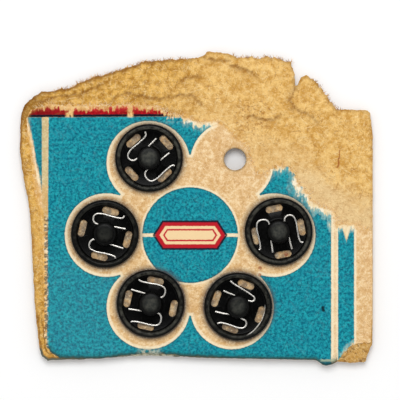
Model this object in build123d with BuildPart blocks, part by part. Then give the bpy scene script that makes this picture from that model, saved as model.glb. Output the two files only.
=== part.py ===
"""A torn card of sew-on snap fasteners.

A strawboard card with a printed face paper carries five snaps on a ring of six
punched holes. Each snap is closed through the card: the stud half lies behind, its
ball passes through the hole, and the socket half lies in front and grips the ball
with two bent wire springs. The sixth hole is empty and the top of the card is torn.

Frame: millimetres, +Z out of the printed face, +Y to the torn top edge, the origin
under the middle of the card on the plane that the five studs stand on.
"""

import os
from math import ceil, copysign, cos, radians, sin, sqrt, tan

from build123d import *

# Card
card_width = 62.4
card_height = 55.6
board_thickness = 0.95
paper_thickness = 0.12
torn_slope_length = 9.5
torn_edge_thickness = 0.5

# Ring of punched holes
hole_count = 6
hole_diameter = 3.9
hole_ring_radius = 14.95
hole_ring_x = -0.58
hole_ring_y = -4.25

# Both halves of a snap
snap_diameter = 12.0
plate_thickness = 0.32
rim_width = 1.0
rim_bevel = 0.35
sewing_hole_count = 4
sewing_hole_length = 3.0
sewing_hole_width = 1.36
sewing_hole_corner = 0.42
sewing_hole_rim_gap = 0.18

# Socket half, in front of the card
socket_rim_height = 1.1
dome_diameter = 4.24
dome_height = 1.7
dome_wall = 0.3
dome_top_diameter = 3.9

# Stud half, behind the card
stud_rim_height = 0.9
neck_diameter = 2.5
dimple_diameter = 1.6

# Wire springs
wire_diameter = 0.38
wire_sides = 6
bend_step = 40
leg_slant = 4.6
leg_front_length = 3.35
leg_back_length = 1.85
hook_radius = 0.92
tail_radius = 0.8
tail_turn = 55
tail_length = 0.2

# Clearances
spring_seat_clearance = 0.02
neck_clearance = 0.06
ball_clearance = 0.12
dome_clearance = 0.1
window_clearance = 0.1
tail_clearance = 0.06

# Snaps: place on the ring and turn of the snap in degrees, then how far the snap has slid
# in its hole along X and Y, as shares of the play between the neck and the hole
snaps = {
    "right": (0, -79, 0.27, 0.27),
    "top_left": (120, 42, -0.34, 0.3),
    "left": (180, -14, -0.76, -0.29),
    "bottom_left": (240, 168, 0.06, 0.63),
    "bottom_right": (300, 160, 0.74, -0.13),
}

# Torn top edge of the board: share of the card's width from the left, drop from the top
torn_top_edge = [
    (0.0, 18.9),
    (0.002, 10.8),
    (0.014, 9.4),
    (0.03, 8.3),
    (0.064, 7.2),
    (0.133, 6.4),
    (0.183, 5.1),
    (0.302, 3.0),
    (0.353, 1.6),
    (0.511, 1.1),
    (0.537, 0.0),
    (0.588, 0.2),
    (0.607, 0.9),
    (0.71, 1.1),
    (0.763, 1.8),
    (0.774, 3.7),
    (0.78, 6.2),
    (0.792, 4.6),
    (0.811, 4.4),
    (0.845, 5.8),
    (0.878, 8.1),
    (0.902, 10.1),
]
# Cut corners on the right: distance from the right edge, drop from the top or rise from
# the bottom
upper_right_corner = [(0.85, 10.4), (0.0, 11.8)]
lower_right_corner = [(0.0, 2.7), (1.2, 0.9)]
# Bottom edge with its folded tab: share of the width from the left, rise from the bottom
bottom_edge = [
    (0.899, 0.9),
    (0.881, 0.2),
    (0.862, 0.0),
    (0.845, 1.1),
    (0.506, 1.4),
    (0.37, 2.7),
    (0.268, 1.8),
    (0.133, 1.4),
    (0.082, 1.1),
]
# Worn left edge: distance from the left edge, share of the card's height from the bottom
worn_left_edge = [(4.0, 0.032), (3.0, 0.146), (2.1, 0.394), (1.7, 0.507), (0.5, 0.603)]

# Edge where the face paper is torn away, from left to right in the card's own frame
torn_paper_edge = [
    (-29.7, 17.7),
    (-5.2, 18.0),
    (-3.5, 16.1),
    (-2.1, 14.6),
    (0.9, 14.6),
    (3.0, 11.0),
    (3.9, 7.7),
    (5.4, 5.2),
    (8.8, 4.4),
    (11.6, 5.4),
    (14.3, 7.1),
    (15.7, 6.6),
    (17.8, 3.8),
    (20.3, 0.1),
    (23.8, -1.1),
    (25.1, -3.4),
    (26.6, -5.6),
    (27.9, -3.3),
]
# Worn left edge of the face paper, from its foot upwards
worn_paper_edge = [(-26.4, -24.6), (-26.4, 2.4), (-27.6, 5.0), (-28.3, 8.6), (-29.2, 13.0)]
paper_foot_left = -25.4
# Chip out of the lower right corner of the face paper: distance from the right edge, rise
paper_chip = [(3.7, 4.0), (6.5, 0.8)]

# Levels, from the plane under the studs upwards
board_bottom = stud_rim_height
board_top = board_bottom + board_thickness
seat_level = board_top + paper_thickness
floor_level = seat_level + plate_thickness
spring_level = floor_level + spring_seat_clearance + wire_diameter / 2
wire_top = spring_level + wire_diameter / 2

# Sizes that follow from the fits
left, right = -card_width / 2, card_width / 2
bottom, top = -card_height / 2, card_height / 2
snap_radius = snap_diameter / 2
rim_inner_radius = snap_radius - rim_width
neck_radius = neck_diameter / 2
hole_radius = hole_diameter / 2
dome_radius = dome_diameter / 2
bore_radius = dome_radius - dome_wall
ball_radius = bore_radius - ball_clearance
inner_leg = neck_radius + neck_clearance + wire_diameter / 2
leg_rise = tan(radians(leg_slant))
sewing_hole_ring_radius = rim_inner_radius - sewing_hole_rim_gap - sewing_hole_width / 2

os.makedirs("parts", exist_ok=True)

# Outline of the torn board
with BuildSketch() as board_outline:
    with BuildLine():
        edge = [(left + share * card_width, top - drop) for share, drop in torn_top_edge]
        edge += [(right - inset, top - drop) for inset, drop in upper_right_corner]
        edge += [(right - inset, bottom + rise) for inset, rise in lower_right_corner]
        edge += [(left + share * card_width, bottom + rise) for share, rise in bottom_edge]
        edge += [(left + inset, bottom + share * card_height) for inset, share in worn_left_edge]
        Polyline(*edge, close=True)
    make_face()

# The six punched holes
with BuildSketch() as punched_holes:
    with Locations((hole_ring_x, hole_ring_y)):
        with PolarLocations(hole_ring_radius, hole_count):
            Circle(hole_radius)

# Board, thinned towards its torn top edge
with BuildPart() as board:
    with BuildSketch(Plane.XY.offset(board_bottom)):
        add(board_outline.sketch)
        add(punched_holes.sketch, mode=Mode.SUBTRACT)
    extrude(amount=board_thickness)
    with BuildSketch(Plane.YZ):
        with BuildLine():
            Polyline(
                (top - torn_slope_length, board_top),
                (top, board_bottom + torn_edge_thickness),
                (top, board_top),
                close=True,
            )
        make_face()
    extrude(amount=card_width / 2, both=True, mode=Mode.SUBTRACT)
board.part.label = "board"
export_step(board.part, "parts/board.step")

# Outline of what is left of the face paper: inside the board, up to the torn edge
with BuildSketch() as paper_outline:
    add(board_outline.sketch)
    with BuildLine():
        edge = torn_paper_edge + [(card_width, torn_paper_edge[-1][1])]
        edge += [(card_width, bottom + paper_chip[0][1])]
        edge += [(right - inset, bottom + rise) for inset, rise in paper_chip]
        edge += [(right - paper_chip[-1][0], -card_height), (paper_foot_left, -card_height)]
        edge += worn_paper_edge
        Polyline(*edge, close=True)
    make_face(mode=Mode.INTERSECT)
    add(punched_holes.sketch, mode=Mode.SUBTRACT)

with BuildPart() as face_paper:
    with BuildSketch(Plane.XY.offset(board_top)):
        add(paper_outline.sketch)
    extrude(amount=paper_thickness)
face_paper.part.label = "face_paper"
export_step(face_paper.part, "parts/face_paper.step")

# Sewing holes of either half, one on each axis of the snap
with BuildSketch() as sewing_holes:
    with PolarLocations(sewing_hole_ring_radius, sewing_hole_count):
        Rectangle(sewing_hole_width, sewing_hole_length)
    chamfer(sewing_holes.vertices(), sewing_hole_corner)

# Socket half: a pressed plate with a rolled rim, a dome over the ball, and a window in
# each side of the dome for a spring
window_inner = inner_leg - wire_diameter / 2 - dome_radius * leg_rise - window_clearance
dome_roof_level = seat_level + dome_height - dome_wall
with BuildPart() as socket:
    with BuildSketch(Plane.XZ):
        with BuildLine():
            Polyline(
                (bore_radius, seat_level),
                (snap_radius - rim_bevel, seat_level),
                (snap_radius, seat_level + socket_rim_height / 2),
                (snap_radius - rim_bevel, seat_level + socket_rim_height),
                (rim_inner_radius, floor_level),
                (dome_radius, floor_level),
                (dome_top_diameter / 2, seat_level + dome_height),
                (0, seat_level + dome_height),
                (0, dome_roof_level),
                (bore_radius, dome_roof_level),
                close=True,
            )
        make_face()
    revolve(axis=Axis.Z)
    with BuildSketch(Plane.XY.offset(seat_level)):
        add(sewing_holes.sketch)
    extrude(amount=plate_thickness, mode=Mode.SUBTRACT)
    with BuildSketch(Plane.XY.offset(floor_level)):
        with Locations((0, dome_radius), (0, -dome_radius)):
            Rectangle(dome_diameter, 2 * (dome_radius - window_inner))
    extrude(amount=wire_top + window_clearance - floor_level, mode=Mode.SUBTRACT)

# Stud half: a pressed plate with its rim turned back, and a hollow ball on a neck
neck_top = wire_top + neck_clearance
ball_top = dome_roof_level - dome_clearance
with BuildPart() as stud:
    with BuildSketch(Plane.XZ):
        with BuildLine():
            Polyline(
                (dimple_diameter / 2, stud_rim_height - plate_thickness),
                (rim_inner_radius, stud_rim_height - plate_thickness),
                (rim_inner_radius, 0),
                (snap_radius, 0),
                (snap_radius, stud_rim_height),
                (neck_radius, stud_rim_height),
                (neck_radius, neck_top),
                (ball_radius, neck_top),
                (ball_radius, ball_top),
                (0, ball_top),
                (0, board_top),
                (dimple_diameter / 2, board_top),
                close=True,
            )
        make_face()
    revolve(axis=Axis.Z)
    with BuildSketch(Plane.XY.offset(stud_rim_height)):
        add(sewing_holes.sketch)
    extrude(amount=-plate_thickness, mode=Mode.SUBTRACT)


def bend(start, heading, radius, turn):
    """Points round a bend of the wire, in short straight runs from a start and a heading."""
    middle = start + Vector(0, copysign(radius, turn)).rotate(Axis.Z, heading)
    runs = ceil(abs(turn) / bend_step)
    steps = [turn * run / runs for run in range(1, runs + 1)]
    return [middle + (start - middle).rotate(Axis.Z, step) for step in steps]


# Wire spring: a leg along the neck of the ball, a hook round to a leg beside the dome,
# and a tail that braces on the rim
free_end = Vector(leg_front_length, inner_leg + leg_front_length * leg_rise, spring_level)
hook_start = Vector(-leg_back_length, inner_leg - leg_back_length * leg_rise, spring_level)
hook = bend(hook_start, 180 + leg_slant, hook_radius, -180 - leg_slant)
tail_rise = tail_radius * (1 - cos(radians(tail_turn))) + tail_length * sin(radians(tail_turn))
tail_run = tail_radius * sin(radians(tail_turn)) + tail_length * cos(radians(tail_turn))
tail_reach = rim_inner_radius - wire_diameter / 2 - tail_clearance
tail_y = hook[-1].Y + tail_rise
tail_end = Vector(sqrt(tail_reach**2 - tail_y**2), tail_y, spring_level)
tail_start = tail_end - Vector(tail_run, tail_rise)
tail = bend(tail_start, 0, tail_radius, tail_turn)
with BuildPart() as spring:
    with BuildLine() as wire:
        Polyline(free_end, hook_start, *hook, tail_start, *tail, tail_end)
    with BuildSketch(Plane(wire.line @ 0, z_dir=wire.line % 0)):
        RegularPolygon(wire_diameter / 2, wire_sides)
    sweep(transition=Transition.RIGHT)

with BuildPart() as mirrored_spring:
    mirror(spring.part, about=Plane.XZ)

# The five snaps, each turned and slid in its hole as it lies on the card
play = hole_radius - neck_radius
pieces = {"socket": socket, "stud": stud, "spring_a": spring, "spring_b": mirrored_spring}
for place, (ring_angle, turn, slide_x, slide_y) in snaps.items():
    spot = Vector(hole_ring_radius, 0).rotate(Axis.Z, ring_angle)
    spot += Vector(hole_ring_x + slide_x * play, hole_ring_y + slide_y * play)
    for piece, made in pieces.items():
        node = made.part.moved(Location(spot, (0, 0, turn)))
        node.label = f"{piece}_{place}"
        export_step(node, f"parts/{node.label}.step")
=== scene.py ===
# %% [markdown]
# # A torn card of snap fasteners
# The object is a small strawboard card from a haberdasher's drawer. A printed paper is
# pasted on its face, five black sew-on snaps are closed through a ring of punched holes,
# and the top of the card has been torn away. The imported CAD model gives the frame, in
# metres. Every piece below is made at the place where its CAD node is.

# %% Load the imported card
import math

import bpy
import numpy as np
from mathutils import Matrix, Vector, noise


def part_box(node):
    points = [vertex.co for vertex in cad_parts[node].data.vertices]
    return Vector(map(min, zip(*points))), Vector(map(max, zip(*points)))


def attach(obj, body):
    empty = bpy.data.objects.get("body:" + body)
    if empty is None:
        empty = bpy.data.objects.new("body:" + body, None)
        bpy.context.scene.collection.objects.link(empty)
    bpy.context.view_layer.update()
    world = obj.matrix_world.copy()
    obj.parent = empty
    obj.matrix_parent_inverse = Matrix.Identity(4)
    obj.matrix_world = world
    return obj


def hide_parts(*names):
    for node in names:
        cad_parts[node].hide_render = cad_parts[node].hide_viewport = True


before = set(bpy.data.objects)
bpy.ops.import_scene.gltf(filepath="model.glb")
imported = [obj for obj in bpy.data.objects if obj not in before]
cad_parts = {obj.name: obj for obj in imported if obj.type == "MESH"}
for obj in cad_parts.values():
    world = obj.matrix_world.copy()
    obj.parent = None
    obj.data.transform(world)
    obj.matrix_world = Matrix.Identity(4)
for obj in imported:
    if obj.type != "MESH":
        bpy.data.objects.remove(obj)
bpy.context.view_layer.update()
MM = 0.001

# %% [markdown]
# ## Camera
# The card was photographed from straight above. A long lens keeps the rims of the snaps
# round out to the edge of the picture. An orthographic camera would do that too, but a
# lens also shows a little of the depth of the sockets, as a real one does.

# %% Camera over the card
picture_width = 70.6
camera_height = 500.0
face_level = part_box("face_paper")[1].z / MM
camera_place = (0.7, 1.5, camera_height)
bpy.ops.object.camera_add(location=[side * MM for side in camera_place], rotation=(0, 0, 0))
camera = bpy.context.object
camera.data.sensor_width = 36.0
camera.data.lens = camera.data.sensor_width * (camera_height - face_level) / picture_width
bpy.context.scene.camera = camera
print("lens in mm:", round(camera.data.lens, 1))

# %% [markdown]
# ## Nodes
# Every finish here is a small graph of nodes. As in Blender's node editor, one graph is
# open at a time: the one that is called tree. The first helpers add a node to it, give a
# socket a number or a link, do a sum, and mix two colours. The others make masks, which
# are values from 0 to 1 that say where a colour or a stain lies.

# %% Helpers for nodes
def add_node(kind, **settings):
    node = tree.nodes.new(kind)
    for setting, value in settings.items():
        setattr(node, setting, value)
    return node


def feed(socket, value):
    if isinstance(value, bpy.types.NodeSocket):
        tree.links.new(value, socket)
    else:
        socket.default_value = value


def calc(operation, *values):
    node = add_node("ShaderNodeMath", operation=operation)
    for socket, value in zip(node.inputs, values):
        feed(socket, value)
    return node.outputs[0]


def ramp(value, start, end, low=0.0, high=1.0):
    """Goes smoothly from low to high as the value goes from start to end."""
    node = add_node("ShaderNodeMapRange", interpolation_type="SMOOTHSTEP")
    labels = ("Value", "From Min", "From Max", "To Min", "To Max")
    for label, given in zip(labels, (value, start, end, low, high)):
        feed(node.inputs[label], given)
    return node.outputs["Result"]


def colour(red, green, blue):
    """A colour as a screen shows it, up to 255, in the linear numbers that Blender uses."""
    shares = [value / 255 for value in (red, green, blue)]
    return [s / 12.92 if s <= 0.04045 else ((s + 0.055) / 1.055) ** 2.4 for s in shares] + [1.0]


def blend(share, first, second):
    """Mixes two colours, each of them a link or three numbers up to 255."""
    node = add_node("ShaderNodeMix", data_type="RGBA")
    feed(node.inputs[0], share)
    for socket, shade in zip(node.inputs[6:8], (first, second)):
        feed(socket, colour(*shade) if isinstance(shade, tuple) else shade)
    return node.outputs[2]


def grain(place, scale, detail=3.0, roughness=0.55):
    node = add_node("ShaderNodeTexNoise")
    labels = ("Vector", "Scale", "Detail", "Roughness")
    for label, given in zip(labels, (place, scale, detail, roughness)):
        feed(node.inputs[label], given)
    return node.outputs["Fac"]


def stretch(place, by):
    node = add_node("ShaderNodeVectorMath", operation="MULTIPLY")
    feed(node.inputs[0], place)
    feed(node.inputs[1], by)
    return node.outputs[0]


def split(place):
    node = add_node("ShaderNodeSeparateXYZ")
    feed(node.inputs[0], place)
    return node.outputs


def millimetres():
    place = add_node("ShaderNodeTexCoord").outputs["Object"]
    return stretch(place, (1 / MM, 1 / MM, 1 / MM))


def attribute(name):
    return add_node("ShaderNodeAttribute", attribute_name=name).outputs["Fac"]


# %% Helpers for masks
def all_of(first, *others):
    for other in others:
        first = calc("MULTIPLY", first, other)
    return first


def any_of(first, *others):
    for other in others:
        first = calc("MAXIMUM", first, other)
    return first


def outside(mask):
    return calc("SUBTRACT", 1.0, mask)


def under(value, limit, soft=0.08):
    """One where the value is under a limit, with a soft edge."""
    return ramp(value, limit + soft, limit - soft)


def within(value, low, high, soft=0.08):
    """One where the value lies between two limits, with soft edges."""
    return all_of(ramp(value, low - soft, low + soft), under(value, high, soft))


def away_from(flat_place, spot):
    """How far each point is from a spot on the card."""
    node = add_node("ShaderNodeVectorMath", operation="DISTANCE")
    feed(node.inputs[0], flat_place)
    node.inputs[1].default_value = (*spot, 0.0)
    return node.outputs["Value"]


def stain(tone, mask, strength, shade):
    """Mixes a shade into the tone so far, where a mask says."""
    return blend(calc("MULTIPLY", mask, strength), tone, shade)


# %% Helpers for finishes
def new_finish(name):
    finish = bpy.data.materials.new(name)
    finish.use_nodes = True
    return finish, finish.node_tree, finish.node_tree.nodes["Principled BSDF"]


def raise_bumps(shader, height, strength, distance):
    bump = add_node("ShaderNodeBump")
    bump.inputs["Strength"].default_value = strength
    bump.inputs["Distance"].default_value = distance * MM
    feed(bump.inputs["Height"], height)
    feed(shader.inputs["Normal"], bump.outputs["Normal"])


# %% [markdown]
# ## Floor and light
# The card lies on a white table under soft light that comes from beyond its torn edge,
# so its shadow falls on the near side. The table shows white to the camera and in
# reflections through a little light of its own, but not under the card. Straight above it
# is dark, where the camera and its stand are, so the flat floors of the snaps mirror
# something black, as they do in the photograph.

# %% White table
def deselect():
    bpy.ops.object.select_all(action="DESELECT")


def seen_directly():
    path = add_node("ShaderNodeLightPath").outputs
    return any_of(path["Is Camera Ray"], path["Is Glossy Ray"], path["Is Transmission Ray"])


table_white, shown_white = 0.92, 1.02
shaded_reach, open_reach = 0.018, 0.022
deselect()
bpy.ops.mesh.primitive_plane_add(size=3.0, location=(0, 0, 0))
table = bpy.context.object
table.name = "table"
white, tree, shader = new_finish("white table")
shader.inputs["Base Color"].default_value = (table_white, table_white, table_white, 1.0)
shader.inputs["Roughness"].default_value = 1.0
shader.inputs["Specular IOR Level"].default_value = 0.0
shader.inputs["Emission Color"].default_value = (1.0, 1.0, 1.0, 1.0)
glow = calc("MULTIPLY", seen_directly(), shown_white - table_white)
away = add_node("ShaderNodeVectorMath", operation="LENGTH")
feed(away.inputs[0], add_node("ShaderNodeTexCoord").outputs["Object"])
open_table = ramp(away.outputs["Value"], shaded_reach, open_reach)
feed(shader.inputs["Emission Strength"], all_of(glow, open_table))
table.data.materials.append(white)
print("table", table_white)

# %% Soft light
sky_level = 0.58
dark_start, dark_full, dark_level = 0.72, 0.92, 0.05
world = bpy.data.worlds.new("studio")
bpy.context.scene.world = world
world.use_nodes = True
tree = world.node_tree
sky = tree.nodes["Background"]
sky.inputs["Color"].default_value = (1.0, 1.0, 1.0, 1.0)
mirrored = add_node("ShaderNodeLightPath").outputs["Is Glossy Ray"]
height = split(add_node("ShaderNodeTexCoord").outputs["Generated"])["Z"]
overhead = all_of(mirrored, ramp(height, dark_start, dark_full))
shown = ramp(overhead, 0.0, 1.0, 1.0, dark_level)
feed(sky.inputs["Strength"], ramp(seen_directly(), 0.0, 1.0, sky_level, shown))

lamp_place = Vector((-0.02, 0.25, 0.53))
lamp_level, lamp_size = 0.47, 0.3
lamp_reach = lamp_place.length
bpy.ops.object.light_add(type="AREA", location=lamp_place)
lamp = bpy.context.object
lamp.rotation_euler = (-lamp_place).to_track_quat("-Z", "Y").to_euler()
lamp.data.size = lamp_size
lamp.data.energy = lamp_level * math.pi**2 * lamp_reach**3 / lamp_place.z
bpy.context.scene.view_settings.view_transform = "Standard"
print("lamp", round(lamp.data.energy, 2), "W")

# %% [markdown]
# ## The outline of the card
# The right side and the foot were cut on a machine, and the left edge is worn. The top
# was torn by hand, so it has a ragged line. One list gives the outline from the upper
# left corner down, with a third number for how ragged the edge is there, in millimetres.

# %% Outline of the board
board_edge = [
    (-31.0, 15.4, 0.12), (-31.1, 10.0, 0.1), (-30.5, 5.6, 0.1), (-29.65, 1.5, 0.1),
    (-29.08, -4.0, 0.1), (-28.85, -10.0, 0.1), (-28.45, -17.0, 0.1), (-28.1, -21.0, 0.1),
    (-27.7, -24.4, 0.1), (-27.2, -26.1, 0.1), (-26.2, -26.8, 0.1), (-24.6, -26.75, 0.1),
    (-17.0, -26.5, 0.1), (-12.4, -26.1, 0.12), (-8.1, -25.95, 0.15), (-4.0, -26.1, 0.15),
    (0.7, -26.35, 0.1), (7.8, -26.5, 0.08), (21.3, -26.75, 0.08), (22.2, -27.5, 0.08),
    (22.9, -27.8, 0.08), (24.2, -27.5, 0.1), (24.8, -27.05, 0.1), (28.4, -27.15, 0.2),
    (29.8, -26.95, 0.25), (30.25, -26.4, 0.25), (30.45, -25.4, 0.25), (30.75, -24.6, 0.2),
    (31.1, -23.8, 0.1), (31.2, -20.0, 0.05), (31.2, 0.0, 0.05), (31.2, 12.6, 0.06),
    (31.0, 15.0, 0.08), (30.75, 16.8, 0.1), (30.2, 17.3, 0.15),
    (24.8, 17.45, 0.3), (23.7, 19.0, 0.3), (22.3, 20.7, 0.3), (21.0, 22.5, 0.3),
    (19.5, 23.4, 0.25), (18.6, 23.2, 0.15), (17.6, 20.9, 0.1), (17.35, 23.6, 0.15),
    (16.7, 25.9, 0.3), (13.1, 26.6, 0.35), (6.8, 26.8, 0.3), (5.5, 27.5, 0.2),
    (2.2, 27.7, 0.2), (0.6, 26.5, 0.25), (-4.9, 26.2, 0.3), (-9.2, 25.9, 0.3),
    (-12.4, 24.65, 0.3), (-16.9, 23.5, 0.3), (-19.8, 22.4, 0.3), (-22.9, 21.1, 0.3),
    (-27.2, 20.5, 0.25), (-29.1, 19.4, 0.2), (-30.2, 18.3, 0.15), (-30.8, 17.0, 0.12),
]


def walk(line, spacing):
    """Points along a closed line, about one spacing apart."""
    closed = np.array(line + line[:1])
    along = np.insert(np.cumsum(np.hypot(*np.diff(closed[:, :2], axis=0).T)), 0, 0)
    stops = np.linspace(0, along[-1], int(along[-1] / spacing), endpoint=False)
    return np.column_stack([np.interp(stops, along, column) for column in closed.T])


def tear(line, spacing, seed, pace=0.9):
    """The same line walked in short steps, each pushed out or in as far as the edge is ragged."""
    steps = walk(line, spacing)
    spots, ragged = steps[:, :2], steps[:, 2]
    ahead = np.roll(spots, -1, 0) - np.roll(spots, 1, 0)
    outwards = np.column_stack([ahead[:, 1], -ahead[:, 0]])
    outwards /= np.linalg.norm(ahead, axis=1)[:, None]
    wobble = [noise.fractal(Vector((x * pace, y * pace, seed)), 0.5, 2.1, 5) for x, y in spots]
    pushed = spots + outwards * (np.array(wobble) * ragged)[:, None]
    return np.column_stack([pushed, ragged])


edge_step = 0.25
board_line = tear(board_edge, edge_step, 3.0)
print("outline points:", len(board_line))

# %% [markdown]
# ## Cutting a sheet
# A sheet with a ragged outline could be cut with a boolean, but that leaves long thin
# faces that take no relief. Here a fine grid is laid over the outline, the squares
# outside it are deleted, and the rim that is left is pulled onto the line.

# %% Distances to a line
def measure(spots, ring):
    """How far each spot is inside a closed line (negative outside), and the nearest point."""
    start, end = ring, np.roll(ring, -1, 0)
    run = end - start
    square = (run**2).sum(1)
    gap, foot = np.empty(len(spots)), np.empty((len(spots), 2))
    batch = 3000
    for first in range(0, len(spots), batch):
        some = spots[first : first + batch, None, :]
        share = np.clip(((some - start) * run).sum(2) / square, 0, 1)
        feet = start + share[..., None] * run
        far = np.linalg.norm(some - feet, axis=2)
        best = far.argmin(1)
        row = np.arange(len(best))
        gap[first : first + batch] = far[row, best]
        foot[first : first + batch] = feet[row, best]
    inside = np.zeros(len(spots), bool)
    x, y = spots.T
    for (x0, y0), (x1, y1) in zip(start, end):
        if y0 != y1:
            inside ^= ((y0 > y) != (y1 > y)) & (x < (x1 - x0) * (y - y0) / (y1 - y0) + x0)
    return np.where(inside, gap, -gap), foot


ring_x, ring_y, ring_radius, hole_radius = -0.58, -4.25, 14.95, 1.95
hole_spots = [
    (ring_x + ring_radius * math.cos(turn), ring_y + ring_radius * math.sin(turn))
    for turn in np.radians(range(0, 360, 60))
]
empty_hole = hole_spots[1]


def inside_sheet(spots, line):
    """The same measure for a sheet with the punched holes."""
    gap, foot = measure(spots, line[:, :2])
    for hole in hole_spots:
        offset = spots - hole
        reach = np.linalg.norm(offset, axis=1)
        nearer = reach - hole_radius < gap
        gap = np.where(nearer, reach - hole_radius, gap)
        rim = hole + offset / np.maximum(reach, 1e-6)[:, None] * hole_radius
        foot = np.where(nearer[:, None], rim, foot)
    return gap, foot


# %% Helpers for cutting
def choose(piece):
    """Selects one piece alone and makes it the active one."""
    deselect()
    bpy.context.view_layer.objects.active = piece
    piece.select_set(True)


def edit(piece):
    choose(piece)
    bpy.ops.object.mode_set(mode="EDIT")


def read_places(piece):
    places = np.empty(len(piece.data.vertices) * 3)
    piece.data.vertices.foreach_get("co", places)
    return places.reshape(-1, 3) / MM


def write_places(piece, places):
    piece.data.vertices.foreach_set("co", (places * MM).ravel())
    piece.data.update()


def note(piece, name, values):
    """Keeps a number for each vertex under a name that a finish can read."""
    layer = piece.data.attributes.new(name, "FLOAT", "POINT")
    layer.data.foreach_set("value", np.asarray(values, np.float32))


def recall(piece, name):
    values = np.empty(len(piece.data.vertices), np.float32)
    piece.data.attributes[name].data.foreach_get("value", values)
    return values


def pick(piece, chosen):
    """Selects the vertices that are chosen, for the next step in edit mode."""
    edit(piece)
    bpy.ops.mesh.select_mode(type="VERT")
    bpy.ops.mesh.select_all(action="DESELECT")
    bpy.ops.object.mode_set(mode="OBJECT")
    piece.data.vertices.foreach_set("select", chosen)
    bpy.ops.object.mode_set(mode="EDIT")


rim_margin = 0.09


def cut_sheet(name, columns, rows, line, height, notes):
    """A sheet on a fine grid, cut to a line, with the height and notes given for its points."""
    deselect()
    bpy.ops.mesh.primitive_grid_add(x_subdivisions=len(columns) - 1, y_subdivisions=len(rows) - 1)
    sheet = bpy.context.object
    sheet.name = sheet.data.name = name
    across, up = ((read_places(sheet)[:, :2] * MM + 1) / 2).T
    column = np.rint(across * (len(columns) - 1)).astype(int)
    row = np.rint(up * (len(rows) - 1)).astype(int)
    spots = np.column_stack([columns[column], rows[row]])
    gap, foot = inside_sheet(spots, line)
    corners = np.empty(len(sheet.data.polygons) * 4, int)
    sheet.data.polygons.foreach_get("vertices", corners)
    corners = corners.reshape(-1, 4)
    clear = gap > rim_margin
    used = np.zeros(len(spots), bool)
    used[corners[clear[corners].any(1)]] = True
    spots = np.where(clear[:, None], spots, foot)
    gap = np.where(clear, gap, 0.0)
    write_places(sheet, np.column_stack([spots, height(spots, gap)]))
    for label, values in notes(spots, gap).items():
        note(sheet, label, values)
    pick(sheet, ~used)
    bpy.ops.mesh.delete(type="VERT")
    bpy.ops.object.mode_set(mode="OBJECT")
    return sheet


def thicken(sheet, level, cuts):
    """Extrudes the sheet down to a flat back, and cuts its sides into plies."""
    edit(sheet)
    bpy.ops.mesh.select_all(action="SELECT")
    bpy.ops.mesh.extrude_region_move(TRANSFORM_OT_translate={"value": (0, 0, -MM)})
    bpy.ops.transform.resize(value=(1, 1, 0), center_override=(0, 0, level * MM))
    for cut in cuts:
        bpy.ops.mesh.select_all(action="SELECT")
        bpy.ops.mesh.bisect(plane_co=(0, 0, cut * MM), plane_no=(0, 0, 1))
    bpy.ops.mesh.select_all(action="SELECT")
    bpy.ops.mesh.normals_make_consistent(inside=False)
    bpy.ops.object.mode_set(mode="OBJECT")


def wear_smooth(piece, angle):
    choose(piece)
    bpy.ops.object.shade_smooth_by_angle(angle=math.radians(angle))


def settle(piece, finish, slot, *nodes):
    """Gives a piece its finish and its place in the frame."""
    piece.data.materials.clear()
    piece.data.materials.append(finish)
    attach(piece, "root")
    if nodes:
        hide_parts(*nodes)


# %% [markdown]
# ## Where the paper is torn
# The face paper has lost its upper right part. Its line runs along the remains of the
# red band, round the empty petal, and down past the blue border to the right edge. The
# board needs the same line, because it is smooth under the paper and rough beyond it.

# %% Outline of the face paper
paper_edge = [
    (-29.2, 17.4, 0.2), (-29.9, 15.9, 0.1), (-29.7, 13.0, 0.15), (-29.2, 9.0, 0.2),
    (-28.8, 5.6, 0.25), (-28.5, 2.6, 0.25), (-27.6, -0.3, 0.2), (-27.2, -3.0, 0.15),
    (-27.0, -10.0, 0.12), (-26.8, -17.0, 0.12), (-26.8, -22.9, 0.15), (-26.4, -24.3, 0.15),
    (-25.5, -25.5, 0.15), (-24.0, -26.35, 0.1), (-17.0, -26.4, 0.1), (-15.5, -26.22, 0.12),
    (-13.4, -25.98, 0.12), (-11.6, -25.75, 0.12), (-9.5, -25.6, 0.12), (-8.1, -25.55, 0.12),
    (-6.4, -25.65, 0.12), (-4.6, -25.75, 0.12), (-2.8, -25.9, 0.12), (0.7, -26.1, 0.1),
    (7.8, -26.42, 0.08), (21.25, -26.66, 0.08), (22.2, -27.42, 0.08), (22.9, -27.72, 0.08),
    (24.2, -27.35, 0.1), (25.0, -26.6, 0.15), (25.9, -25.7, 0.3), (26.7, -24.6, 0.3),
    (27.9, -23.9, 0.3), (29.4, -23.8, 0.35), (30.9, -23.5, 0.15), (31.08, -15.0, 0.06),
    (31.05, -4.0, 0.1), (30.4, -3.6, 0.5), (28.2, -2.9, 0.4), (25.2, -2.9, 0.4),
    (24.2, -0.3, 0.4), (21.0, 0.8, 0.5), (18.6, 4.0, 0.5), (16.6, 7.1, 0.4),
    (14.4, 7.7, 0.4), (12.2, 5.9, 0.4), (10.6, 6.2, 0.5), (9.6, 8.6, 0.5),
    (9.0, 11.0, 0.5), (6.6, 12.9, 0.5), (5.0, 14.4, 0.4), (3.4, 15.4, 0.4),
    (0.5, 15.3, 0.4), (-1.7, 16.0, 0.4), (-3.6, 16.5, 0.4), (-5.6, 17.0, 0.5),
    (-7.2, 18.2, 0.45), (-12.0, 18.3, 0.45), (-20.0, 18.2, 0.45), (-26.0, 18.2, 0.45),
]
paper_line = tear(paper_edge, edge_step, 11.0, pace=1.3)
print("paper outline points:", len(paper_line))

# %% [markdown]
# ## Strawboard
# The board is about a millimetre of pressed straw. Where it was torn it thins to half,
# its plies let go along ragged steps, and the face is lumpy with short fibres. That
# relief is real height here, because low light from one side shows every step.

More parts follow.
